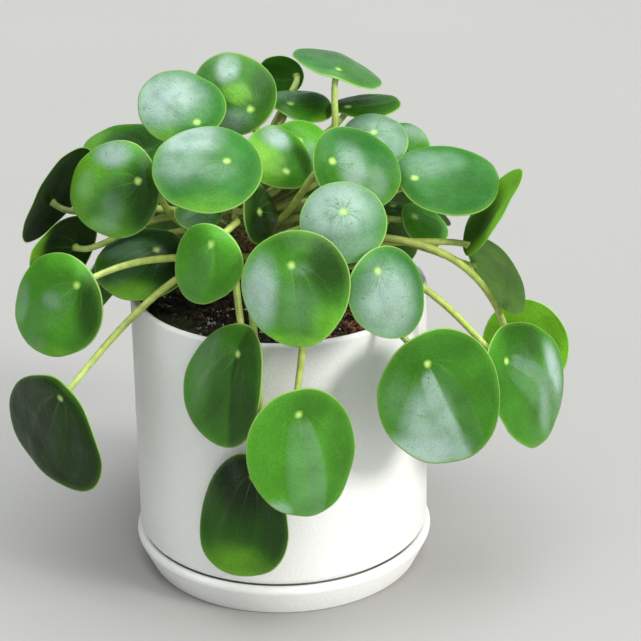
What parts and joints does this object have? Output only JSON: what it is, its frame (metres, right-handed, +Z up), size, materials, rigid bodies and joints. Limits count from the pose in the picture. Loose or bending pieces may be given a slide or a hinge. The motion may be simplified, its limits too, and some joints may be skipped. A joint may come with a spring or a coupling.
{
  "type": "potted chinese money plant",
  "caption": "Potted house plant with round, shield-like leaves on long stalks, in a white ceramic cylinder pot with its own saucer.",
  "frame": {"origin": "centre of the saucer's base, on the surface it stands on", "axes": "+Z up along the pot's axis, -Y to the front, +X to the right"},
  "size_m": [0.2843, 0.2356, 0.2611],
  "materials": {
    "ceramic": "smooth matt white",
    "soil": "loose dark potting mix",
    "stem": "smooth, slightly waxy",
    "leaf": "waxy, semi-gloss"
  },
  "bodies": {
    "root": {"saucer": "ceramic", "pot": "ceramic", "soil": "soil", "stem": "stem", "leaf_01": "leaf", "leaf_02": "leaf", "leaf_03": "leaf", "leaf_04": "leaf", "leaf_05": "leaf", "leaf_06": "leaf", "leaf_07": "leaf", "leaf_08": "leaf", "leaf_09": "leaf", "leaf_10": "leaf", "leaf_11": "leaf", "leaf_12": "leaf", "leaf_13": "leaf", "leaf_14": "leaf", "leaf_15": "leaf", "leaf_16": "leaf", "leaf_17": "leaf", "leaf_18": "leaf", "leaf_19": "leaf", "leaf_20": "leaf", "leaf_21": "leaf", "leaf_22": "leaf", "leaf_23": "leaf", "leaf_24": "leaf", "leaf_25": "leaf", "leaf_26": "leaf", "leaf_27": "leaf", "leaf_28": "leaf", "leaf_29": "leaf", "leaf_30": "leaf", "leaf_31": "leaf", "leaf_32": "leaf", "leaf_33": "leaf", "leaf_34": "leaf", "leaf_35": "leaf", "leaf_36": "leaf", "leaf_37": "leaf", "leaf_38": "leaf", "leaf_39": "leaf", "leaf_40": "leaf", "leaf_41": "leaf", "leaf_42": "leaf", "leaf_43": "leaf", "leaf_44": "leaf", "leaf_45": "leaf", "leaf_46": "leaf", "leaf_47": "leaf", "leaf_48": "leaf"}
  },
  "joints": []
}
